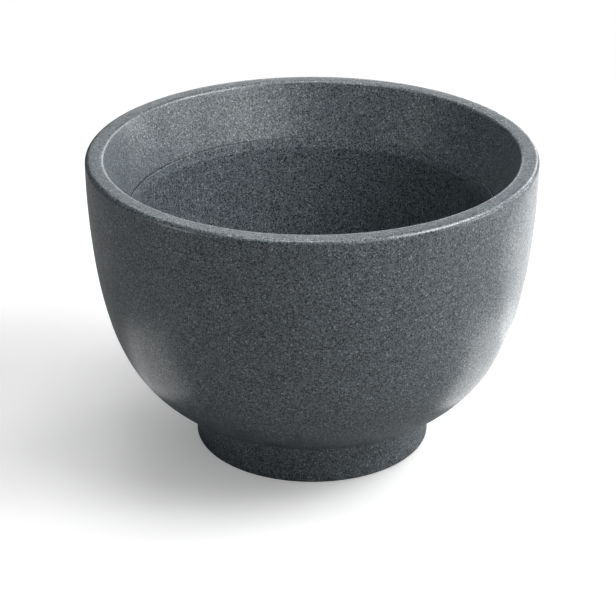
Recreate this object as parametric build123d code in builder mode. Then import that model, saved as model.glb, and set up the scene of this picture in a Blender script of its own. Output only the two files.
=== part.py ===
from build123d import *
import math
import os

# Round plastic planter: a deep bowl on a short foot, with a lift-out liner.
# Millimetres, +Z up, origin on the floor under the centre of the foot.

# ---- driving dimensions -------------------------------------------------
outer_d = 550.0          # over the widest part of the bowl, just under the rim
height = 380.0           # floor to rim top
skin = 5.0               # moulded skin of the shell

# bowl wall: a short cylinder, then four tangent arcs, each from one angle
# off the vertical to the next, with the outside radius of curvature
wall_start_z = 368.2
wall_angles = (0.0, 7.0, 15.0, 27.5, 70.5)
wall_radii = (996.2, 519.9, 241.0, 161.4)

# rim and collar
rim_outer_fillet = 6.5
rim_inner_fillet = 6.0
collar_corner_r = 253.5  # where the collar's face would meet the rim top
collar_edge_r = 225.5    # crisp lower edge of the collar
collar_edge_z = 310.7

# foot
foot_base_r = 147.7
foot_edge_fillet = 3.0
shell_base_z = 1.0       # the shell stands 1 mm off the floor on its pads
land_inner_r = 128.0
recess_r = 124.5
recess_z = 11.0          # underside of the raised floor inside the foot

# pads
pad_count = 6
pad_r = 5.5
pad_thick = 3.0
pad_pcd_r = 137.0
pad_sunk = pad_thick - shell_base_z
pad_clear = 0.1

# drain bush, plug and seal
bush_body_r = 17.0
bush_flange_r = 24.0
bush_flange_t = 2.5
bush_bore_r = 11.0
thread_pitch = 4.0
plug_r = 10.93
plug_root_r = 9.9
plug_bottom_z = 9.5
plug_head_r = 19.0
plug_head_t = 4.5
seal_inner_r = 11.3
seal_outer_r = 17.5
seal_t = 2.0
wing_len = 30.0
wing_t = 6.0
wing_top_z = 41.0

# liner
liner_wall = 3.5
liner_top_z = 311.0
liner_top_r = 225.0
liner_lip = 1.2          # thickness of the lip that tucks in under the collar
liner_lip_depth = 12.0
liner_draft = 4.0
liner_bend_z = 160.0     # where the draughted wall turns into the bowl arc
liner_bend_r = 110.0     # outside radius of that arc
ring_r = 102.0           # standing ring, outside
ring_t = 3.5
ring_notches = 6
ring_notch_w = 34.0
ring_notch_h = 16.0
drain_hole_r = 4.0
grip_w = 84.0
grip_h = 28.0
grip_z = 262.0

# drainage grid
grid_r = 149.0
grid_t = 3.0
grid_foot_h = 12.0
grid_foot_r = 4.8
grid_foot_pcd_r = 93.5
grid_foot_inner_pcd_r = 25.5
grid_hole_r = 3.5
grid_ring_step = 17.0
grid_rings = 8
grid_notch_r = 13.0

os.makedirs("parts", exist_ok=True)


def tangent_arcs(x, z, angles, radii):
    """Ends and middles of tangent arcs going down and inward from (x, z)."""
    spans = []
    for a0, a1, rad in zip(angles, angles[1:], radii):
        a0, a1 = math.radians(a0), math.radians(a1)
        am = (a0 + a1) / 2
        cx, cz = x - rad * math.cos(a0), z + rad * math.sin(a0)
        mid = (cx + rad * math.cos(am), cz - rad * math.sin(am))
        end = (cx + rad * math.cos(a1), cz - rad * math.sin(a1))
        spans.append(((x, z), mid, end))
        x, z = end
    return spans


def nearest(sketch, x, z):
    """The corner of a radial section that lies closest to (x, z)."""
    return sketch.vertices().sort_by(
        lambda v: math.hypot(v.X - x, v.Y - z))[0]


# ---- planter shell -------------------------------------------------------
outer_r = outer_d / 2
outer_arcs = tangent_arcs(outer_r, wall_start_z, wall_angles, wall_radii)
inner_arcs = tangent_arcs(outer_r - skin, wall_start_z, wall_angles,
                          tuple(r - skin for r in wall_radii))
bowl_end = outer_arcs[-1][2]          # sharp corner where bowl meets foot
bowl_end_in = inner_arcs[-1][2]

lean = math.atan2(collar_corner_r - collar_edge_r, height - collar_edge_z)
hidden_shift = skin / math.cos(lean)  # collar's hidden face, sideways
collar_under_r = collar_edge_r + hidden_shift
under_z = height - skin
collar_hidden_top_r = collar_corner_r + hidden_shift - skin * math.tan(lean)

# inside line of the foot wall, parallel to the outside
foot_slope = (foot_base_r - bowl_end[0]) / (bowl_end[1] - shell_base_z)
foot_in_base_r = foot_base_r - skin
foot_in_top_r = bowl_end[0] - skin
land_top_z = shell_base_z + skin
# where the inner bowl skin meets the inside of the foot wall
neck = (foot_in_top_r, bowl_end_in[1] - (bowl_end_in[0] - foot_in_top_r)
        / math.tan(math.radians(wall_angles[-1])))

with BuildPart() as planter_shell:
    with BuildSketch(Plane.XZ) as shell_section:
        with BuildLine():
            # underside, from the hole for the bush outward
            Polyline((bush_body_r, recess_z), (recess_r, recess_z),
                     (land_inner_r, shell_base_z),
                     (foot_base_r, shell_base_z), bowl_end)
            for start, mid, end in reversed(outer_arcs):
                ThreePointArc(end, mid, start)
            Polyline((outer_r, wall_start_z), (outer_r, height),
                     (collar_corner_r, height),
                     (collar_edge_r, collar_edge_z),
                     (collar_under_r, collar_edge_z),
                     (collar_hidden_top_r, under_z),
                     (outer_r - skin, under_z),
                     (outer_r - skin, wall_start_z))
            for start, mid, end in inner_arcs:
                ThreePointArc(start, mid, end)
            Polyline(bowl_end_in, neck, (foot_in_base_r, land_top_z),
                     (land_inner_r + 3.2, land_top_z),
                     (recess_r + 3.2, recess_z + skin),
                     (bush_body_r, recess_z + skin),
                     (bush_body_r, recess_z))
        make_face()
        for x, z, rad in ((outer_r, height, rim_outer_fillet),
                          (collar_corner_r, height, rim_inner_fillet),
                          (foot_base_r, shell_base_z, foot_edge_fillet),
                          (land_inner_r, shell_base_z, 1.5)):
            fillet(nearest(shell_section, x, z), rad)
    revolve(axis=Axis.Z)
    # pockets that the pads are glued into
    with BuildSketch(Plane.XY.offset(shell_base_z)):
        with PolarLocations(pad_pcd_r, pad_count, start_angle=30):
            Circle(pad_r + pad_clear)
    extrude(amount=pad_sunk, mode=Mode.SUBTRACT)
planter_shell.part.label = "planter_shell"
export_step(planter_shell.part, "parts/planter_shell.step")

# ---- foot pads -----------------------------------------------------------
with BuildPart() as foot_pads:
    with BuildSketch(Plane.XY):
        with PolarLocations(pad_pcd_r, pad_count, start_angle=30):
            Circle(pad_r)
    extrude(amount=pad_thick)
    chamfer(foot_pads.faces().filter_by(Axis.Z).group_by(Axis.Z)[0].edges(),
            0.4)
foot_pads.part.label = "foot_pads"
export_step(foot_pads.part, "parts/foot_pads.step")

# ---- drain bush ----------------------------------------------------------
floor_low, floor_high = recess_z, recess_z + skin
bush_top = floor_high + bush_flange_t
bush_bottom = floor_low - bush_flange_t
with BuildPart() as drain_bush:
    with BuildSketch(Plane.XZ):
        with BuildLine():
            Polyline((bush_bore_r, bush_bottom), (bush_flange_r, bush_bottom),
                     (bush_flange_r, floor_low), (bush_body_r, floor_low),
                     (bush_body_r, floor_high), (bush_flange_r, floor_high),
                     (bush_flange_r, bush_top), (bush_bore_r, bush_top),
                     (bush_bore_r, bush_bottom))
        make_face()
    revolve(axis=Axis.Z)
    rims = drain_bush.edges().filter_by(GeomType.CIRCLE)
    chamfer(rims.filter_by(lambda e: abs(e.radius - bush_flange_r) < 0.01
                           and (e.center().Z > floor_high + 0.1
                                or e.center().Z < floor_low - 0.1)), 0.6)
drain_bush.part.label = "drain_bush"
export_step(drain_bush.part, "parts/drain_bush.step")

# ---- plug seal -----------------------------------------------------------
with BuildPart() as plug_seal:
    with BuildSketch(Plane.XY.offset(bush_top)):
        Circle(seal_outer_r)
        Circle(seal_inner_r, mode=Mode.SUBTRACT)
    extrude(amount=seal_t)
    chamfer(plug_seal.edges().filter_by(GeomType.CIRCLE).filter_by(
        lambda e: e.radius > seal_outer_r - 0.1), 0.4)
plug_seal.part.label = "plug_seal"
export_step(plug_seal.part, "parts/plug_seal.step")

# ---- drain plug ----------------------------------------------------------
head_z = bush_top + seal_t
with BuildPart() as drain_plug:
    # shank with grooved thread form and a lead-in at its end
    with BuildSketch(Plane.XZ):
        with BuildLine():
            points = [(0, plug_bottom_z), (plug_root_r, plug_bottom_z)]
            z = plug_bottom_z + 0.6
            while z + thread_pitch * 0.5 < bush_top - 0.5:
                points += [(plug_root_r, z), (plug_r, z + 0.9),
                           (plug_r, z + 1.5), (plug_root_r, z + 2.4)]
                z += thread_pitch
            points += [(plug_root_r, head_z), (plug_head_r, head_z),
                       (plug_head_r, head_z + plug_head_t),
                       (0, head_z + plug_head_t), (0, plug_bottom_z)]
            Polyline(*points)
        make_face()
    revolve(axis=Axis.Z)
    # knurl-like scallops round the head
    with BuildSketch(Plane.XY.offset(head_z)):
        with PolarLocations(plug_head_r + 1.6, 12):
            Circle(3.0)
    extrude(amount=plug_head_t, mode=Mode.SUBTRACT)
    # finger wing across the head
    with BuildSketch(Plane.YZ.offset(-wing_t / 2)):
        with BuildLine():
            z0 = head_z + plug_head_t - 0.5
            Polyline((-wing_len / 2, z0), (wing_len / 2, z0),
                     (wing_len / 2 - 3, wing_top_z),
                     (-wing_len / 2 + 3, wing_top_z),
                     (-wing_len / 2, z0))
        make_face()
    extrude(amount=wing_t)
    fillet(drain_plug.edges().filter_by(
        lambda e: abs(e.center().Z - wing_top_z) < 0.01), 1.5)
drain_plug.part.label = "drain_plug"
export_step(drain_plug.part, "parts/drain_plug.step")

# ---- liner ---------------------------------------------------------------
tan_d = math.tan(math.radians(liner_draft))
cos_d = math.cos(math.radians(liner_draft))
bend_x = liner_top_r - tan_d * (liner_top_z - liner_bend_z)
(liner_out,) = tangent_arcs(bend_x, liner_bend_z, (liner_draft, 90.0),
                            (liner_bend_r,))
in_x = bend_x - liner_wall * cos_d
in_z = liner_bend_z + liner_wall * math.sin(math.radians(liner_draft))
(liner_in,) = tangent_arcs(in_x, in_z, (liner_draft, 90.0),
                           (liner_bend_r - liner_wall,))
liner_under_z = liner_out[2][1]
liner_floor_z = liner_in[2][1]
lip_low_z = liner_top_z - liner_lip_depth
lip_low_r = liner_top_r - tan_d * liner_lip_depth - liner_wall / cos_d

with BuildPart() as liner:
    with BuildSketch(Plane.XZ):
        with BuildLine():
            Polyline((0, liner_under_z), (ring_r - ring_t, liner_under_z),
                     (ring_r - ring_t, floor_high), (ring_r, floor_high),
                     (ring_r, liner_under_z), liner_out[2])
            ThreePointArc(liner_out[2], liner_out[1], liner_out[0])
            Polyline(liner_out[0], (liner_top_r, liner_top_z),
                     (liner_top_r - liner_lip, liner_top_z),
                     (lip_low_r, lip_low_z), liner_in[0])
            ThreePointArc(*liner_in)
            Polyline(liner_in[2], (0, liner_floor_z), (0, liner_under_z))
        make_face()
    revolve(axis=Axis.Z)
    # notches let the water under the standing ring
    with BuildSketch(Plane.XY.offset(floor_high)):
        with PolarLocations(ring_r - ring_t / 2, ring_notches):
            Rectangle(12, ring_notch_w)
    extrude(amount=ring_notch_h, mode=Mode.SUBTRACT)
    # drain holes inside the ring
    with BuildSketch(Plane.XY.offset(liner_under_z - 1)):
        with PolarLocations(86, 12, start_angle=15):
            Circle(drain_hole_r)
        with PolarLocations(52, 6):
            Circle(drain_hole_r)
        Circle(drain_hole_r)
    extrude(amount=liner_wall + 2, mode=Mode.SUBTRACT)
    # two finger slots, one each side, to lift the liner by
    with BuildSketch(Plane.YZ.offset(-liner_top_r - 10)):
        with Locations((0, grip_z)):
            SlotOverall(grip_w, grip_h)
    extrude(amount=2 * liner_top_r + 20, mode=Mode.SUBTRACT)
liner.part.label = "liner"
export_step(liner.part, "parts/liner.step")

# ---- drainage grid -------------------------------------------------------
grid_under_z = liner_floor_z + grid_foot_h
with BuildPart() as drainage_grid:
    with BuildSketch(Plane.XY.offset(grid_under_z)):
        Circle(grid_r)
    extrude(amount=grid_t)
    # rim bead on the plate's edge
    with BuildSketch(Plane.XY.offset(grid_under_z + grid_t)):
        Circle(grid_r)
        Circle(grid_r - 3.0, mode=Mode.SUBTRACT)
    extrude(amount=2.0)
    # small feet
    with BuildSketch(Plane.XY.offset(liner_floor_z)):
        with PolarLocations(grid_foot_pcd_r, 6, start_angle=30):
            Circle(grid_foot_r)
        with PolarLocations(grid_foot_inner_pcd_r, 3, start_angle=90):
            Circle(grid_foot_r)
    extrude(amount=grid_foot_h)
    # holes in rings, as many in each ring as keeps them evenly apart
    with BuildSketch(Plane.XY.offset(grid_under_z)):
        for ring in range(1, grid_rings + 1):
            with PolarLocations(ring * grid_ring_step, 6 * ring,
                                start_angle=0):
                Circle(grid_hole_r)
    extrude(amount=grid_t, mode=Mode.SUBTRACT)
    # two finger notches in the edge, to lift the plate by
    with BuildSketch(Plane.XY.offset(grid_under_z - 1)):
        with PolarLocations(grid_r + 4.0, 2):
            Circle(grid_notch_r)
    extrude(amount=grid_t + 4.0, mode=Mode.SUBTRACT)
drainage_grid.part.label = "drainage_grid"
export_step(drainage_grid.part, "parts/drainage_grid.step")
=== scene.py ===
import math

import bmesh
import bpy
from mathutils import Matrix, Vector, noise
from mathutils.geometry import delaunay_2d_cdt


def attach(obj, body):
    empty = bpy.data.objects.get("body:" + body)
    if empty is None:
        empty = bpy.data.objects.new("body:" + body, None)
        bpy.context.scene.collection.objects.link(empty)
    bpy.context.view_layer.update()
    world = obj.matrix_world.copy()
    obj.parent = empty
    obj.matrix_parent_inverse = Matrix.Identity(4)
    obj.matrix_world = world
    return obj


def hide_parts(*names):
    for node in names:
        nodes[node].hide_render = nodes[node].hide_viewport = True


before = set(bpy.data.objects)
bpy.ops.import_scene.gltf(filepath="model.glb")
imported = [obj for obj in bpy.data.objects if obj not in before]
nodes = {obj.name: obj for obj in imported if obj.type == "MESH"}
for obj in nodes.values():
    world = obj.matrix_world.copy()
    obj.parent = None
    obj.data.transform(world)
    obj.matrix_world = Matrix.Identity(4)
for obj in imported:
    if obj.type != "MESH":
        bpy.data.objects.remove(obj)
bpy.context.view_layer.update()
scene = bpy.context.scene
MM = 0.001


# ======================================================================
# camera: 25.5 degrees down, from the fit of the rim, wall and foot outlines
# ======================================================================
cam_data = bpy.data.cameras.new("camera")
cam_data.sensor_width = 36.0
cam_data.lens = 2105.3 / 616.0 * 36.0
cam_data.shift_x = -4.15 / 616.0
cam_data.shift_y = 0.5 / 616.0
cam_data.clip_start, cam_data.clip_end = 0.05, 60.0
cam = bpy.data.objects.new("camera", cam_data)
cam.location = (0.0, -8.681 * 0.275, 0.380 + 3.372 * 0.275)
cam.rotation_euler = (math.radians(90.0 - 25.52), 0.0, 0.0)
scene.collection.objects.link(cam)
scene.camera = cam


# ======================================================================
# profile and mesh helpers, in millimetres until the mesh is made
# ======================================================================
def arc(cx, cz, r, a0, a1, n):
    """Points on a circle, angles in degrees from +r towards +z."""
    out = []
    for i in range(n + 1):
        a = math.radians(a0 + (a1 - a0) * i / n)
        out.append((cx + r * math.cos(a), cz + r * math.sin(a)))
    return out


def tangent_arcs(x, z, angles, radii, step=3.5):
    """Tangent arcs going down and inward from (x, z), as points."""
    pts = [(x, z)]
    for a0, a1, rad in zip(angles, angles[1:], radii):
        cx = x - rad * math.cos(math.radians(a0))
        cz = z + rad * math.sin(math.radians(a0))
        n = max(3, int(math.ceil(rad * math.radians(a1 - a0) / step)))
        seg = arc(cx, cz, rad, -a0, -a1, n)
        pts += seg[1:]
        x, z = seg[-1]
    return pts


def rounded(corners, closed=True, n=6):
    """A polyline with its corners rounded. corners holds (x, z, radius)."""
    out, m = [], len(corners)
    for i, (x, z, r) in enumerate(corners):
        if r <= 0 or (not closed and i in (0, m - 1)):
            out.append((x, z))
            continue
        p = Vector((x, z))
        a = Vector(corners[i - 1][:2]) - p
        b = Vector(corners[(i + 1) % m][:2]) - p
        la, lb = a.length, b.length
        a.normalize()
        b.normalize()
        half = math.acos(max(-1.0, min(1.0, a.dot(b)))) / 2
        if half > math.radians(89.5):
            out.append((x, z))
            continue
        t = min(r / math.tan(half), 0.495 * la, 0.495 * lb)
        rr = t * math.tan(half)
        c = p + (a + b).normalized() * (rr / math.sin(half))
        v0, v1 = p + a * t - c, p + b * t - c
        turn = v0.angle(v1)
        sign = 1.0 if v0.x * v1.y - v0.y * v1.x > 0 else -1.0
        for k in range(n + 1):
            ang = sign * turn * k / n
            out.append((c.x + v0.x * math.cos(ang) - v0.y * math.sin(ang),
                        c.y + v0.x * math.sin(ang) + v0.y * math.cos(ang)))
    return out


def densify(pts, step, closed=True):
    """Splits long runs so that no edge of the profile is over step."""
    out, m = [], len(pts)
    for i in range(m if closed else m - 1):
        (x0, z0), (x1, z1) = pts[i], pts[(i + 1) % m]
        k = max(1, int(math.ceil(math.hypot(x1 - x0, z1 - z0) / step)))
        out += [(x0 + (x1 - x0) * j / k, z0 + (z1 - z0) * j / k)
                for j in range(k)]
    if not closed:
        out.append(pts[-1])
    return out


def new_object(name, bm, sharp=35.0, flat=False):
    bmesh.ops.remove_doubles(bm, verts=bm.verts, dist=1e-7)
    bmesh.ops.recalc_face_normals(bm, faces=bm.faces)
    mesh = bpy.data.meshes.new(name)
    bm.to_mesh(mesh)
    bm.free()
    for p in mesh.polygons:
        p.use_smooth = not flat
    mesh.set_sharp_from_angle(angle=math.radians(sharp))
    obj = bpy.data.objects.new(name, mesh)
    scene.collection.objects.link(obj)
    return obj


def lathe(bm, profile, n, closed=True, shape=None):
    """Turns a profile (mm) about Z. A profile point on the axis makes a cap.
    shape(r, z, angle) may return a changed (r, z) for that vertex."""
    rows = []
    for r, z in profile:
        if r < 1e-6:
            rows.append([bm.verts.new((0, 0, z * MM))])
            continue
        row = []
        for k in range(n):
            a = 2 * math.pi * k / n
            rr, zz = shape(r, z, a) if shape else (r, z)
            row.append(bm.verts.new((rr * MM * math.cos(a),
                                     rr * MM * math.sin(a), zz * MM)))
        rows.append(row)
    m = len(rows)
    for i in range(m if closed else m - 1):
        p, q = rows[i], rows[(i + 1) % m]
        if len(p) == 1 and len(q) == 1:
            continue
        for k in range(n):
            j = (k + 1) % n
            if len(p) == 1:
                bm.faces.new((p[0], q[j], q[k]))
            elif len(q) == 1:
                bm.faces.new((p[k], p[j], q[0]))
            else:
                bm.faces.new((p[k], p[j], q[j], q[k]))


def boolean(obj, cutter, operation="DIFFERENCE"):
    m = obj.modifiers.new("cut", "BOOLEAN")
    m.operation = operation
    m.solver = "EXACT"
    m.object = cutter
    bpy.context.view_layer.update()
    dg = bpy.context.evaluated_depsgraph_get()
    made = bpy.data.meshes.new_from_object(obj.evaluated_get(dg))
    obj.modifiers.clear()
    old = obj.data
    obj.data = made
    bpy.data.meshes.remove(old)
    bpy.data.objects.remove(cutter)
    return obj


def smooth(obj, sharp=35.0):
    for p in obj.data.polygons:
        p.use_smooth = True
    obj.data.set_sharp_from_angle(angle=math.radians(sharp))
    return obj


def slot_prism(name, w, h, z, x0, x1, n=14):
    """A slot-shaped prism along X, centred on y = 0 at height z."""
    bm = bmesh.new()
    outline = []
    for side in (1, -1):
        for k in range(n + 1):
            a = math.radians(-90 + 180 * k / n) if side > 0 \
                else math.radians(90 + 180 * k / n)
            outline.append((side * (w - h) / 2 + h / 2 * math.cos(a),
                            z + h / 2 * math.sin(a)))
    rows = [[bm.verts.new((x * MM, y * MM, zz * MM)) for y, zz in outline]
            for x in (x0, x1)]
    m = len(outline)
    for k in range(m):
        j = (k + 1) % m
        bm.faces.new((rows[0][k], rows[0][j], rows[1][j], rows[1][k]))
    bm.faces.new(rows[0])
    bm.faces.new(list(reversed(rows[1])))
    return new_object(name, bm)


def finish_piece(obj, node, body, material):
    obj.data.materials.clear()
    obj.data.materials.append(material)
    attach(obj, body)
    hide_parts(node)
    return obj


# ======================================================================
# materials
# ======================================================================
def node_tree(name):
    mat = bpy.data.materials.new(name)
    mat.use_nodes = True
    nt = mat.node_tree
    nt.nodes.clear()
    out = nt.nodes.new("ShaderNodeOutputMaterial")
    bsdf = nt.nodes.new("ShaderNodeBsdfPrincipled")
    nt.links.new(bsdf.outputs["BSDF"], out.inputs["Surface"])
    tc = nt.nodes.new("ShaderNodeTexCoord")
    return mat, nt, bsdf, tc.outputs["Object"]


def math_node(nt, op, a, b=None, clamp=False):
    n = nt.nodes.new("ShaderNodeMath")
    n.operation = op
    n.use_clamp = clamp
    for i, v in enumerate((a, b)):
        if v is None:
            continue
        if isinstance(v, (int, float)):
            n.inputs[i].default_value = v
        else:
            nt.links.new(v, n.inputs[i])
    return n.outputs[0]


def map_range(nt, v, a, b, c=0.0, d=1.0, smooth_step=True):
    n = nt.nodes.new("ShaderNodeMapRange")
    n.interpolation_type = "SMOOTHSTEP" if smooth_step else "LINEAR"
    nt.links.new(v, n.inputs["Value"])
    n.inputs["From Min"].default_value = a
    n.inputs["From Max"].default_value = b
    n.inputs["To Min"].default_value = c
    n.inputs["To Max"].default_value = d
    return n.outputs["Result"]


def noise_tex(nt, vec, scale, detail=2.0, rough=0.5):
    n = nt.nodes.new("ShaderNodeTexNoise")
    nt.links.new(vec, n.inputs["Vector"])
    n.inputs["Scale"].default_value = scale
    n.inputs["Detail"].default_value = detail
    n.inputs["Roughness"].default_value = rough
    return n.outputs["Fac"]


def voronoi(nt, vec, scale, shift=(0, 0, 0)):
    m = nt.nodes.new("ShaderNodeMapping")
    m.inputs["Location"].default_value = shift
    nt.links.new(vec, m.inputs["Vector"])
    n = nt.nodes.new("ShaderNodeTexVoronoi")
    n.feature = "F1"
    nt.links.new(m.outputs[0], n.inputs["Vector"])
    n.inputs["Scale"].default_value = scale
    sep = nt.nodes.new("ShaderNodeSeparateColor")
    nt.links.new(n.outputs["Color"], sep.inputs[0])
    return n.outputs["Distance"], sep.outputs[0], sep.outputs[1]


def mix_color(nt, fac, a, b):
    n = nt.nodes.new("ShaderNodeMix")
    n.data_type = "RGBA"
    for sock, v in ((n.inputs[0], fac), (n.inputs[6], a), (n.inputs[7], b)):
        if isinstance(v, (int, float)):
            sock.default_value = v
        elif isinstance(v, tuple):
            sock.default_value = (*v, 1.0)
        else:
            nt.links.new(v, sock)
    return n.outputs[2]


def scale_color(nt, col, fac):
    """Multiplies a colour by a grey factor."""
    comb = nt.nodes.new("ShaderNodeCombineColor")
    for i in range(3):
        nt.links.new(fac, comb.inputs[i])
    n = nt.nodes.new("ShaderNodeMix")
    n.data_type = "RGBA"
    n.blend_type = "MULTIPLY"
    n.inputs[0].default_value = 1.0
    nt.links.new(col, n.inputs[6])
    nt.links.new(comb.outputs[0], n.inputs[7])
    return n.outputs[2]


def flecks(nt, vec, size_mm, share, shift, soft=0.10, reach=0.46):
    """Mask of irregular flecks: a share of the cells of a lattice holds one,
    each with its own size."""
    d, pick, grow = voronoi(nt, vec, 1.0 / (size_mm * MM), shift)
    size = map_range(nt, grow, 0.0, 1.0, reach * 0.55, reach, False)
    edge = math_node(nt, "SUBTRACT", size, d)
    body = map_range(nt, edge, -soft, soft)
    chosen = math_node(nt, "LESS_THAN", pick, share)
    return math_node(nt, "MULTIPLY", body, chosen)


def granite(name, base, dark, light, roughness=0.5, share=(0.52, 0.12, 0.36),
            bump=1.0, spec=0.5):
    """Granite-look plastic: mid grey with dark and light flecks moulded in,
    a fine pebbled skin and faint cloudy mottling."""
    mat, nt, bsdf, vec0 = node_tree(name)
    # a little warp so that no fleck is round
    wn = nt.nodes.new("ShaderNodeTexNoise")
    nt.links.new(vec0, wn.inputs["Vector"])
    wn.inputs["Scale"].default_value = 620.0
    wn.inputs["Detail"].default_value = 2.0
    sub = nt.nodes.new("ShaderNodeVectorMath")
    sub.operation = "SUBTRACT"
    nt.links.new(wn.outputs["Color"], sub.inputs[0])
    sub.inputs[1].default_value = (0.5, 0.5, 0.5)
    sc = nt.nodes.new("ShaderNodeVectorMath")
    sc.operation = "SCALE"
    nt.links.new(sub.outputs[0], sc.inputs[0])
    sc.inputs["Scale"].default_value = 0.0016
    add = nt.nodes.new("ShaderNodeVectorMath")
    add.operation = "ADD"
    nt.links.new(vec0, add.inputs[0])
    nt.links.new(sc.outputs[0], add.inputs[1])
    vec = add.outputs[0]

    dark_fine = flecks(nt, vec, 2.2, share[0], (0.013, 0.007, 0.021),
                       reach=0.54)
    dark_big = flecks(nt, vec, 3.0, share[1], (0.031, 0.017, 0.005))
    pale = flecks(nt, vec, 2.3, share[2], (0.003, 0.027, 0.011), reach=0.50)

    cloud = noise_tex(nt, vec0, 9.0, 3.0, 0.55)
    grain = noise_tex(nt, vec0, 640.0, 1.0, 0.5)
    tone = math_node(nt, "MULTIPLY",
                     map_range(nt, cloud, 0.3, 0.7, 0.965, 1.035, False),
                     map_range(nt, grain, 0.25, 0.75, 0.20, 1.80, False))
    col = mix_color(nt, pale, base, light)
    col = mix_color(nt, dark_fine, col, dark)
    col = mix_color(nt, dark_big, col, dark)
    col = scale_color(nt, col, tone)
    nt.links.new(col, bsdf.inputs["Base Color"])

    # satin skin, a little rougher where the flecks lie
    rn = noise_tex(nt, vec0, 60.0, 3.0, 0.6)
    r = map_range(nt, rn, 0.3, 0.7, roughness - 0.045, roughness + 0.045,
                  False)
    r = math_node(nt, "ADD", r, math_node(nt, "MULTIPLY", dark_fine, 0.05))
    nt.links.new(r, bsdf.inputs["Roughness"])
    bsdf.inputs["IOR"].default_value = 1.5
    bsdf.inputs["Specular IOR Level"].default_value = spec

    # pebbled skin: fine grain, shallow pits at the dark flecks, orange peel
    h1 = noise_tex(nt, vec0, 760.0, 2.0, 0.6)
    h2 = noise_tex(nt, vec0, 150.0, 2.0, 0.5)
    h = math_node(nt, "ADD", math_node(nt, "MULTIPLY", h1, 0.6),
                  math_node(nt, "MULTIPLY", h2, 0.8))
    h = math_node(nt, "SUBTRACT", h,
                  math_node(nt, "MULTIPLY", dark_fine, 0.25))
    b = nt.nodes.new("ShaderNodeBump")
    b.inputs["Strength"].default_value = 1.0
    b.inputs["Distance"].default_value = 0.00011 * bump
    nt.links.new(h, b.inputs["Height"])
    nt.links.new(b.outputs[0], bsdf.inputs["Normal"])
    return mat


def moulded(name, col, roughness=0.45, grain=420.0, bump=0.00006, var=0.12):
    """Plain moulded plastic: one pigment, fine spark-eroded grain."""
    mat, nt, bsdf, vec = node_tree(name)
    c = noise_tex(nt, vec, 28.0, 4.0, 0.6)
    f = noise_tex(nt, vec, grain * 2.2, 1.0, 0.5)
    tone = math_node(nt, "MULTIPLY",
                     map_range(nt, c, 0.3, 0.7, 1.0 - var, 1.0 + var, False),
                     map_range(nt, f, 0.3, 0.7, 0.93, 1.07, False))
    base = nt.nodes.new("ShaderNodeRGB")
    base.outputs[0].default_value = (*col, 1.0)
    nt.links.new(scale_color(nt, base.outputs[0], tone),
                 bsdf.inputs["Base Color"])
    r = map_range(nt, noise_tex(nt, vec, 90.0, 3.0, 0.6), 0.3, 0.7,
                  roughness - 0.06, roughness + 0.06, False)
    nt.links.new(r, bsdf.inputs["Roughness"])
    b = nt.nodes.new("ShaderNodeBump")
    b.inputs["Strength"].default_value = 1.0
    b.inputs["Distance"].default_value = bump
    nt.links.new(noise_tex(nt, vec, grain, 2.0, 0.6), b.inputs["Height"])
    nt.links.new(b.outputs[0], bsdf.inputs["Normal"])
    return mat


def rubber(name, col):
    """Matt rubber with a bloom of dust in its low spots."""
    mat, nt, bsdf, vec = node_tree(name)
    bloom = map_range(nt, noise_tex(nt, vec, 160.0, 4.0, 0.65), 0.45, 0.75)
    pale = tuple(min(1.0, c * 2.4 + 0.012) for c in col)
    base = mix_color(nt, math_node(nt, "MULTIPLY", bloom, 0.55), col, pale)
    nt.links.new(base, bsdf.inputs["Base Color"])
    r = map_range(nt, noise_tex(nt, vec, 300.0, 2.0, 0.6), 0.3, 0.7,
                  0.72, 0.88, False)
    nt.links.new(r, bsdf.inputs["Roughness"])
    b = nt.nodes.new("ShaderNodeBump")
    b.inputs["Distance"].default_value = 0.00005
    nt.links.new(noise_tex(nt, vec, 1100.0, 2.0, 0.6), b.inputs["Height"])
    nt.links.new(b.outputs[0], bsdf.inputs["Normal"])
    return mat


shell_mat = granite("granite_plastic", (0.103, 0.123, 0.136),
                    (0.006, 0.008, 0.009), (0.255, 0.285, 0.300),
                    roughness=0.32, spec=0.85)
liner_mat = granite("granite_plastic_liner", (0.108, 0.129, 0.143),
                    (0.006, 0.008, 0.009), (0.255, 0.285, 0.300),
                    roughness=0.42, spec=0.6)
grid_mat = moulded("dark_plastic", (0.028, 0.031, 0.034), 0.48)
bush_mat = moulded("black_plastic_bush", (0.016, 0.016, 0.018), 0.42)
plug_mat = moulded("black_plastic_plug", (0.020, 0.021, 0.023), 0.36)
seal_mat = rubber("rubber_seal", (0.014, 0.014, 0.015))
pad_mat = rubber("rubber_pads", (0.022, 0.022, 0.023))


# ======================================================================
# planter shell: one turned skin, same sizes as the CAD part
# ======================================================================
ANGLES = (0.0, 7.0, 15.0, 27.5, 70.5)
RADII = (996.2, 519.9, 241.0, 161.4)
OUT_R, TOP, SKIN, WALL_Z = 275.0, 380.0, 5.0, 368.2
EDGE_R, EDGE_Z, CORNER_R = 225.5, 310.7, 253.5

outer = tangent_arcs(OUT_R, WALL_Z, ANGLES, RADII)
inner = tangent_arcs(OUT_R - SKIN, WALL_Z, ANGLES,
                     tuple(r - SKIN for r in RADII))
lean = math.atan2(CORNER_R - EDGE_R, TOP - EDGE_Z)
side = SKIN / math.cos(lean)
bx, bz = outer[-1]
ix, iz = inner[-1]
foot_in = bx - SKIN
neck_z = iz - (ix - foot_in) / math.tan(math.radians(70.5))

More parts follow.
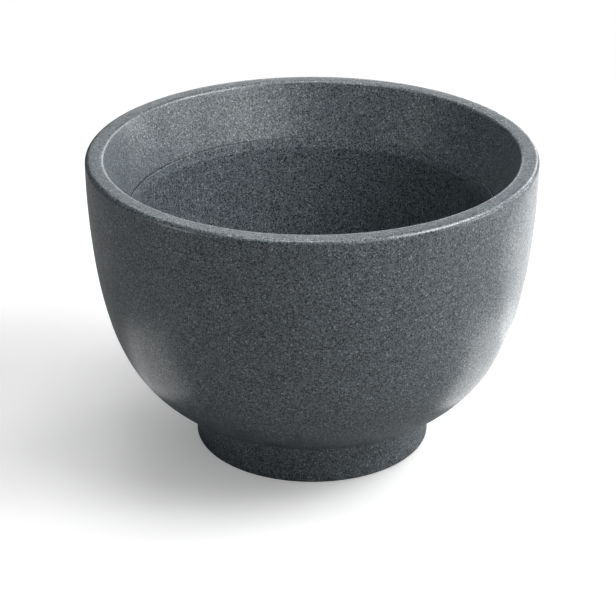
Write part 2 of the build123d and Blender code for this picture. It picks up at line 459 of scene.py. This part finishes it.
corners = [(17.0, 11.0, 0), (124.5, 11.0, 2.0), (128.0, 1.0, 1.5),
           (147.7, 1.0, 3.0), (bx, bz, 0.9)]
corners += [(x, z, 0) for x, z in reversed(outer[:-1])]
corners += [(OUT_R, TOP, 6.5), (CORNER_R, TOP, 6.0), (EDGE_R, EDGE_Z, 0.5),
            (EDGE_R + side, EDGE_Z, 0.5),
            (CORNER_R + side - SKIN * math.tan(lean), TOP - SKIN, 2.5),
            (OUT_R - SKIN, TOP - SKIN, 3.0)]
corners += [(x, z, 0) for x, z in inner]
corners += [(foot_in, neck_z, 1.5), (142.7, 6.0, 2.0), (131.2, 6.0, 2.0),
            (127.7, 16.0, 2.0), (17.0, 16.0, 0)]
shell_profile = densify(rounded(corners, n=8), 5.0)


def shell_shape(r, z, a):
    """The slow waviness that a moulded skin cools with: under 0.2 mm."""
    if r > 150.0 and z < 360.0:
        w = noise.noise(Vector((1.7 * math.cos(a), 1.7 * math.sin(a),
                                z / 130.0)))
        fade = min(1.0, (360.0 - z) / 60.0) * min(1.0, (r - 150.0) / 20.0)
        if z > 300.0 and r < 262.0:
            fade *= 0.3
        return r + 0.18 * w * fade, z
    return r, z


bm = bmesh.new()
lathe(bm, shell_profile, 360, True, shell_shape)
shell = new_object("shell_skin", bm, 30.0)
finish_piece(shell, "planter_shell", "shell", shell_mat)


# ======================================================================
# liner
# ======================================================================
L_TOP, L_R, L_WALL, L_DRAFT, L_BEND_Z, L_BEND_R = 311.0, 225.0, 3.5, 4.0, \
    160.0, 110.0
tan_d, cos_d = math.tan(math.radians(L_DRAFT)), math.cos(math.radians(L_DRAFT))
lbx = L_R - tan_d * (L_TOP - L_BEND_Z)
l_out = tangent_arcs(lbx, L_BEND_Z, (L_DRAFT, 90.0), (L_BEND_R,))
l_in = tangent_arcs(lbx - L_WALL * cos_d,
                    L_BEND_Z + L_WALL * math.sin(math.radians(L_DRAFT)),
                    (L_DRAFT, 90.0), (L_BEND_R - L_WALL,))
under_z, floor_z = l_out[-1][1], l_in[-1][1]
RING_R, RING_T = 102.0, 3.5
lip_z = L_TOP - 12.0
lip_r = L_R - tan_d * 12.0 - L_WALL / cos_d
lc = [(0, under_z, 0), (RING_R - RING_T, under_z, 0.8),
      (RING_R - RING_T, 16.0, 0.8), (RING_R, 16.0, 0.8),
      (RING_R, under_z, 0.8)]
lc += [(x, z, 0) for x, z in reversed(l_out)]
lc += [(L_R, L_TOP, 0.5), (L_R - 1.2, L_TOP, 0.5), (lip_r, lip_z, 3.0)]
lc += [(x, z, 0) for x, z in l_in] + [(0, floor_z, 0)]
liner_profile = densify(rounded(lc, closed=False, n=6), 5.0, closed=False)

bm = bmesh.new()
lathe(bm, liner_profile, 360, False)
liner = new_object("liner_pot", bm, 30.0)

cutter_bm = bmesh.new()
for ring_r, count, start in ((86.0, 12, 15.0), (52.0, 6, 0.0), (0.0, 1, 0.0)):
    for k in range(count):
        a = math.radians(start + 360.0 * k / count)
        cx, cy = ring_r * math.cos(a), ring_r * math.sin(a)
        rows = [[cutter_bm.verts.new(((cx + 4.0 * math.cos(t)) * MM,
                                      (cy + 4.0 * math.sin(t)) * MM, z * MM))
                 for t in [2 * math.pi * j / 24 for j in range(24)]]
                for z in (under_z - 1.3, floor_z + 1.1)]
        for j in range(24):
            i = (j + 1) % 24
            cutter_bm.faces.new((rows[0][j], rows[0][i], rows[1][i],
                                 rows[1][j]))
        cutter_bm.faces.new(list(reversed(rows[0])))
        cutter_bm.faces.new(rows[1])
for k in range(6):
    a = math.radians(60.0 * k)
    ux, uy = Vector((math.cos(a), math.sin(a))), \
        Vector((-math.sin(a), math.cos(a)))
    ring = []
    for z in (15.0, 32.0):
        ring.append([cutter_bm.verts.new((*((ux * (100.25 + i)
                                             + uy * j) * MM), z * MM))
                     for i, j in ((-6, -17), (6, -17), (6, 17), (-6, 17))])
    for j in range(4):
        i = (j + 1) % 4
        cutter_bm.faces.new((ring[0][j], ring[0][i], ring[1][i], ring[1][j]))
    cutter_bm.faces.new(list(reversed(ring[0])))
    cutter_bm.faces.new(ring[1])
boolean(liner, new_object("cut_holes", cutter_bm))
boolean(liner, slot_prism("cut_grip", 84.0, 28.0, 262.0, -236.3, 235.9))
smooth(liner, 30.0)
finish_piece(liner, "liner", "liner", liner_mat)


# ======================================================================
# drainage plate: holes with broken edges, rim bead, feet
# ======================================================================
G_R, G_T, G_FOOT = 149.0, 3.0, 12.0
g0 = floor_z + G_FOOT
g1 = g0 + G_T


def grid_outline(shrink=0.0):
    """The plate's edge with its two finger notches."""
    cr, cx = 13.0 + shrink, G_R + 4.0
    r = G_R - shrink
    # where the notch circle meets the plate's edge
    ca = (r * r + cx * cx - cr * cr) / (2 * r * cx)
    a = math.acos(ca)
    pts = []
    for base in (0.0, math.pi):
        # notch arc, seen from its own centre
        ex, ey = r * math.cos(a), r * math.sin(a)
        t0 = math.atan2(ey, ex - cx)
        for k in range(17):
            t = -t0 + 2 * t0 * k / 16 - 2 * math.pi * k / 16
            x, y = cx + cr * math.cos(t), cr * math.sin(t)
            pts.append((x * math.cos(base) - y * math.sin(base),
                        x * math.sin(base) + y * math.cos(base)))
        for k in range(1, 96):
            t = base + a + (math.pi - 2 * a) * k / 96
            pts.append((r * math.cos(t), r * math.sin(t)))
    return pts


def circle(cx, cy, r, n):
    return [(cx + r * math.cos(2 * math.pi * k / n),
             cy + r * math.sin(2 * math.pi * k / n)) for k in range(n)]


def plate(bm, loops_low, loops_high, z_low, z_high, edge):
    """A plate between two levels. Each entry of loops is (face loop, wall
    loop): the face is cut back from the wall by a broken edge."""
    levels = []
    for loops, z, zw, up in ((loops_low, z_low, z_low + edge, False),
                             (loops_high, z_high, z_high - edge, True)):
        pts, faces, at = [], [], 0
        for face, wall in loops:
            pts += [Vector(p) for p in face]
            idx = list(range(at, at + len(face)))
            faces.append(idx)
            at += len(face)
        edges = [(f[i], f[(i + 1) % len(f)]) for f in faces
                 for i in range(len(f))]
        v2, _, f2, ov, _, _ = delaunay_2d_cdt(pts, edges, faces, 2, 1e-6)
        verts = [bm.verts.new((p.x * MM, p.y * MM, z * MM)) for p in v2]
        where = {}
        for i, src in enumerate(ov):
            for s in src:
                where[s] = verts[i]
        hole_ids = []
        for face_loop, _wall in loops[1:]:
            hole_ids.append((sum(p[0] for p in face_loop) / len(face_loop),
                             sum(p[1] for p in face_loop) / len(face_loop),
                             max(math.hypot(p[0] - face_loop[0][0],
                                            p[1] - face_loop[0][1])
                                 for p in face_loop) / 2))
        for f in f2:
            cx = sum(v2[i].x for i in f) / len(f)
            cy = sum(v2[i].y for i in f) / len(f)
            if any(math.hypot(cx - hx, cy - hy) < hr * 0.999
                   for hx, hy, hr in hole_ids):
                continue
            vs = [verts[i] for i in f]
            if not up:
                vs.reverse()
            try:
                bm.faces.new(vs)
            except ValueError:
                pass
        walls, at = [], 0
        for face, wall in loops:
            m = len(face)
            w = [bm.verts.new((x * MM, y * MM, zw * MM)) for x, y in wall]
            for i in range(m):
                j = (i + 1) % m
                bm.faces.new((where[at + i], where[at + j], w[j], w[i]))
            walls.append(w)
            at += m
        levels.append(walls)
    for lo, hi in zip(*levels):
        m = len(lo)
        for i in range(m):
            j = (i + 1) % m
            bm.faces.new((lo[i], lo[j], hi[j], hi[i]))


holes = []
for ring in range(1, 9):
    for k in range(6 * ring):
        a = 2 * math.pi * k / (6 * ring)
        holes.append((17.0 * ring * math.cos(a), 17.0 * ring * math.sin(a)))
EDGE = 0.35
outline_face, outline_wall = grid_outline(EDGE), grid_outline(0.0)
loops = [(outline_face, outline_wall)]
loops += [(circle(x, y, 3.5 + EDGE, 18), circle(x, y, 3.5, 18))
          for x, y in holes]
bm = bmesh.new()
plate(bm, loops, loops, g0, g1, EDGE)
grid = new_object("drain_plate", bm, 30.0)

# rim bead: follows the plate's edge, leaves the notches open
bm = bmesh.new()
a_open = math.acos((G_R ** 2 + (G_R + 4.0) ** 2 - 13.0 ** 2)
                   / (2 * G_R * (G_R + 4.0))) + 0.012
sect = rounded([(G_R - 3.0, g1 - 0.6, 0), (G_R - 3.0, g1 + 2.0, 1.0),
                (G_R - 0.05, g1 + 2.0, 1.0), (G_R - 0.05, g1 - 0.6, 0)],
               n=5)
for base in (0.0, math.pi):
    rows = []
    steps = 120
    for k in range(steps + 1):
        t = base + a_open + (math.pi - 2 * a_open) * k / steps
        rows.append([bm.verts.new((r * MM * math.cos(t), r * MM * math.sin(t),
                                   z * MM)) for r, z in sect])
    m = len(sect)
    for p, q in zip(rows, rows[1:]):
        for i in range(m):
            j = (i + 1) % m
            bm.faces.new((p[i], p[j], q[j], q[i]))
    bm.faces.new(rows[0])
    bm.faces.new(list(reversed(rows[-1])))
bead = new_object("plate_bead", bm, 30.0)

bm = bmesh.new()
for r, count, start in ((93.5, 6, 30.0), (25.5, 3, 90.0)):
    for k in range(count):
        a = math.radians(start + 360.0 * k / count)
        part = bmesh.new()
        # a hair of air under each foot, so that no faces lie in one plane
        lathe(part, rounded([(0, floor_z + 0.03, 0),
                             (4.2, floor_z + 0.03, 0.6),
                             (4.8, g0 - 2.0, 0.8), (5.6, g0 + 0.4, 0),
                             (0, g0 + 0.4, 0)], closed=False, n=4), 24, False)
        for v in part.verts:
            v.co.x += r * math.cos(a) * MM
            v.co.y += r * math.sin(a) * MM
        tmp = bpy.data.meshes.new("tmp")
        part.to_mesh(tmp)
        part.free()
        bm.from_mesh(tmp)
        bpy.data.meshes.remove(tmp)
feet = new_object("plate_feet", bm, 30.0)
finish_piece(grid, "drainage_grid", "grid", grid_mat)
for extra in (bead, feet):
    extra.data.materials.append(grid_mat)
    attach(extra, "grid")


# ======================================================================
# drain bush, seal, plug
# ======================================================================
PITCH = 4.0


def thread(r_low, r_high, z, a, fade):
    """Radius of a trapezoid thread at height z and angle a."""
    ph = (z / PITCH - a / (2 * math.pi)) % 1.0
    up = min(1.0, max(0.0, (0.5 - abs(ph - 0.5)) * 5.0 - 0.6))
    return r_low + (r_high - r_low) * up * fade


bm = bmesh.new()
bush_outer = rounded([(11.25, 8.5, 0.5), (24.0, 8.5, 0.7), (24.0, 10.9, 0.3),
                      (17.0, 11.0, 0), (17.0, 16.0, 0), (24.0, 16.1, 0.3),
                      (24.0, 18.5, 0.7), (11.25, 18.5, 0.5)], n=5)
bore = [(11.25, 18.5 - 0.55 - 8.9 * k / 36) for k in range(1, 36)]


def bush_shape(r, z, a):
    if r < 11.6 and 9.2 < z < 17.8:
        return thread(11.25, 11.02, z, a,
                      min(1.0, (17.8 - z) / 0.8, (z - 9.2) / 0.8)), z
    if r > 23.0:      # spanner notches round the flange
        ph = (a / (2 * math.pi) * 8.0) % 1.0
        if abs(ph - 0.5) < 0.12:
            return r - 1.6, z
    return r, z


lathe(bm, bush_outer + bore, 144, True, bush_shape)
bush = new_object("bush_insert", bm, 30.0)
finish_piece(bush, "drain_bush", "shell", bush_mat)

bm = bmesh.new()
lathe(bm, rounded([(11.3, 18.5, 0.5), (17.5, 18.5, 0.7), (17.5, 20.5, 0.7),
                   (15.2, 20.5, 0.2), (14.9, 20.2, 0.2), (13.9, 20.2, 0.2),
                   (13.6, 20.5, 0.2), (11.3, 20.5, 0.5)], n=4), 96)
seal = new_object("seal_ring", bm, 40.0)
finish_piece(seal, "plug_seal", "seal", seal_mat)

bm = bmesh.new()
HEAD = 20.5
shank = [(0, 9.5)] + rounded([(7.6, 9.5, 0), (9.2, 9.5, 0.5),
                              (9.9, 10.3, 0.3), (9.9, 10.6, 0)],
                             closed=False, n=4)
shank += [(9.9, 10.6 + 7.2 * k / 44) for k in range(1, 45)]
head = rounded([(9.9, 17.9, 0), (9.9, HEAD, 0.3), (19.0, HEAD, 0.8),
                (19.0, HEAD + 4.5, 1.3), (12.0, HEAD + 4.5, 0),
                (11.0, HEAD + 3.9, 0.8), (0, HEAD + 3.9, 0)],
               closed=False, n=6)


def plug_shape(r, z, a):
    if abs(r - 9.9) < 1e-3 and 10.6 < z < 17.9:
        return thread(9.9, 10.93, z, a,
                      min(1.0, (z - 10.6) / 1.2, (17.9 - z) / 0.8)), z
    if r > 16.0 and z >= HEAD:   # grip scallops
        ph = (a / (2 * math.pi) * 12.0) % 1.0
        t = abs(ph - 0.5) * 2.0       # 0 in the middle of a scallop
        cut = max(0.0, 1.0 - (t / 0.62) ** 2) ** 0.5 if t < 0.62 else 0.0
        edge = min(1.0, (r - 16.0) / 2.5)
        return r - 1.5 * cut * edge, z
    return r, z


lathe(bm, shank + head, 192, False, plug_shape)
plug = new_object("plug_screw", bm, 35.0)
# finger wing: a rounded blade with a waist
bm = bmesh.new()
rows = []
ZL = [HEAD + 3.0, HEAD + 4.4, HEAD + 6.0, HEAD + 9.0, HEAD + 13.0,
      HEAD + 17.0, HEAD + 19.2, HEAD + 20.3, HEAD + 20.5]
LEN = [16.0, 15.2, 14.6, 14.2, 13.6, 13.0, 12.3, 11.2, 9.5]
THK = [4.6, 3.6, 3.0, 2.7, 2.6, 2.8, 2.8, 2.3, 1.4]
for z, ln, th in zip(ZL, LEN, THK):
    row = []
    for k in range(48):
        t = 2 * math.pi * k / 48
        c, s = math.cos(t), math.sin(t)
        # superellipse blade along Y
        x = th * math.copysign(abs(c) ** 0.55, c)
        y = ln * math.copysign(abs(s) ** 0.55, s)
        row.append(bm.verts.new((x * MM, y * MM, z * MM)))
    rows.append(row)
for p, q in zip(rows, rows[1:]):
    for k in range(48):
        j = (k + 1) % 48
        bm.faces.new((p[k], p[j], q[j], q[k]))
bm.faces.new(list(reversed(rows[0])))
bm.faces.new(rows[-1])
wing = new_object("wing_tmp", bm, 50.0)
boolean(plug, wing, "UNION")
smooth(plug, 32.0)
finish_piece(plug, "drain_plug", "plug", plug_mat)


# ======================================================================
# foot pads
# ======================================================================
bm = bmesh.new()
for k in range(6):
    a = math.radians(30.0 + 60.0 * k)
    part = bmesh.new()
    lathe(part, rounded([(0, 0.35, 0), (3.2, 0.35, 0.3), (3.7, 0.0, 0.3),
                         (5.1, 0.0, 0.4), (5.5, 0.5, 0.3), (5.5, 3.0, 0.3),
                         (0, 3.0, 0)], closed=False, n=4), 48, False)
    for v in part.verts:
        v.co.x += 137.0 * math.cos(a) * MM
        v.co.y += 137.0 * math.sin(a) * MM
    tmp = bpy.data.meshes.new("tmp")
    part.to_mesh(tmp)
    part.free()
    bm.from_mesh(tmp)
    bpy.data.meshes.remove(tmp)
pads = new_object("pads", bm, 35.0)
finish_piece(pads, "foot_pads", "shell", pad_mat)


# ======================================================================
# stage: pale floor, soft boxes
# ======================================================================
bm = bmesh.new()
bmesh.ops.create_grid(bm, x_segments=2, y_segments=2, size=9.0)
floor = new_object("floor", bm)
fmat = bpy.data.materials.new("floor")
fmat.use_nodes = True
nt = fmat.node_tree
nt.nodes.clear()
fo = nt.nodes.new("ShaderNodeOutputMaterial")
mixn = nt.nodes.new("ShaderNodeMixShader")
lp = nt.nodes.new("ShaderNodeLightPath")
seen = nt.nodes.new("ShaderNodeBsdfDiffuse")
seen.inputs["Color"].default_value = (0.86, 0.86, 0.86, 1)
back = nt.nodes.new("ShaderNodeBsdfDiffuse")
back.inputs["Color"].default_value = (0.30, 0.30, 0.305, 1)
lift = nt.nodes.new("ShaderNodeEmission")
lift.inputs["Strength"].default_value = 0.26
both = nt.nodes.new("ShaderNodeAddShader")
nt.links.new(seen.outputs[0], both.inputs[0])
nt.links.new(lift.outputs[0], both.inputs[1])
# far from the planter the floor runs out into the white of the room
far = nt.nodes.new("ShaderNodeEmission")
far.inputs["Strength"].default_value = 1.0
tco = nt.nodes.new("ShaderNodeTexCoord")
away = nt.nodes.new("ShaderNodeVectorMath")
away.operation = "LENGTH"
nt.links.new(tco.outputs["Object"], away.inputs[0])
fade = nt.nodes.new("ShaderNodeMapRange")
fade.interpolation_type = "SMOOTHSTEP"
fade.inputs["From Min"].default_value = 0.55
fade.inputs["From Max"].default_value = 1.5
nt.links.new(away.outputs["Value"], fade.inputs["Value"])
ground = nt.nodes.new("ShaderNodeMixShader")
nt.links.new(fade.outputs["Result"], ground.inputs[0])
nt.links.new(both.outputs[0], ground.inputs[1])
nt.links.new(far.outputs[0], ground.inputs[2])
nt.links.new(lp.outputs["Is Camera Ray"], mixn.inputs[0])
nt.links.new(back.outputs[0], mixn.inputs[1])
nt.links.new(ground.outputs[0], mixn.inputs[2])
# nothing is seen of the floor from below
clear = nt.nodes.new("ShaderNodeBsdfTransparent")
under = nt.nodes.new("ShaderNodeMixShader")
nt.links.new(nt.nodes.new("ShaderNodeNewGeometry").outputs["Backfacing"],
             under.inputs[0])
nt.links.new(mixn.outputs[0], under.inputs[1])
nt.links.new(clear.outputs[0], under.inputs[2])
nt.links.new(under.outputs[0], fo.inputs["Surface"])
floor.data.materials.append(fmat)

# name, azimuth (0 = camera side, 90 = right), elevation, distance, size, watts
LIGHTS = [
    ("top", 0, 89.0, 3.0, 1.4, 31.0),
    ("right_key", 80, 45, 3.0, 1.2, 36.0),
    ("right_front_key", 60, 45, 3.0, 1.1, 33.0),
    ("right_back_high", 100, 45, 3.0, 1.1, 22.0),
    ("right_low", 85, 5, 3.0, 1.0, 20.0),
    ("right_rim", 120, 8, 3.0, 1.0, 12.0),
    ("right_back", 140, 25, 3.0, 1.1, 18.0),
    ("front_right", 42, 25, 3.0, 1.0, 7.0),
    ("front_fill", 20, 25, 3.0, 1.0, 4.5),
    ("left_low", 296, 5, 3.0, 1.1, 11.0),
    ("left_high", 320, 65, 3.0, 1.2, 7.0),
    ("back_low", 180, 5, 3.0, 1.2, 12.0),
    ("back_low_right", 160, 5, 3.0, 1.0, 12.0),
    ("back_high", 190, 45, 3.0, 1.2, 11.0),
]
AIM = Vector((0, 0, 0.2))
for nm, az, el, dist, size, watts in LIGHTS:
    ld = bpy.data.lights.new("light_" + nm, "AREA")
    ld.shape = "SQUARE"
    ld.size = size
    ld.energy = watts
    lo = bpy.data.objects.new("light_" + nm, ld)
    lo.visible_camera = False
    a, e = math.radians(az), math.radians(el)
    d = Vector((math.sin(a) * math.cos(e), -math.cos(a) * math.cos(e),
                math.sin(e)))
    lo.location = AIM + d * dist
    lo.rotation_euler = (-d).to_track_quat("-Z", "Y").to_euler()
    scene.collection.objects.link(lo)

# white cards lying on the floor: name, x, y, size, watts
for nm, x, y, size, watts in [("card_right", 0.52, 0.52, 0.8, 3.0),
                              ("card_right_near", 0.36, 0.04, 0.30, 0.40),
                              ("card_left", -0.36, -0.06, 0.24, 0.125)]:
    ld = bpy.data.lights.new("light_" + nm, "AREA")
    ld.shape = "SQUARE"
    ld.size = size
    ld.energy = watts
    lo = bpy.data.objects.new("light_" + nm, ld)
    lo.visible_camera = False
    lo.location = (x, y, 0.004)
    lo.rotation_euler = (math.pi, 0, 0)
    scene.collection.objects.link(lo)

# a glow inside the foot ring, seen only when looked at from below
ld = bpy.data.lights.new("light_foot", "AREA")
ld.shape = "DISK"
ld.size = 0.27
ld.energy = 0.22
lo = bpy.data.objects.new("light_foot", ld)
lo.visible_camera = False
lo.location = (0, 0, 0.0002)
lo.rotation_euler = (math.pi, 0, 0)
scene.collection.objects.link(lo)

world = bpy.data.worlds.new("studio")
world.use_nodes = True
wt = world.node_tree
room = wt.nodes["Background"]
room.inputs[0].default_value = (1, 1, 1, 1)
room.inputs[1].default_value = 0.012
wall = wt.nodes.new("ShaderNodeBackground")
wall.inputs[0].default_value = (1, 1, 1, 1)
wall.inputs[1].default_value = 1.0
wmix = wt.nodes.new("ShaderNodeMixShader")
wt.links.new(wt.nodes.new("ShaderNodeLightPath").outputs["Is Camera Ray"],
             wmix.inputs[0])
wt.links.new(room.outputs[0], wmix.inputs[1])
wt.links.new(wall.outputs[0], wmix.inputs[2])
wt.links.new(wmix.outputs[0], wt.nodes["World Output"].inputs["Surface"])
scene.world = world
scene.view_settings.view_transform = "Standard"
scene.view_settings.look = "None"
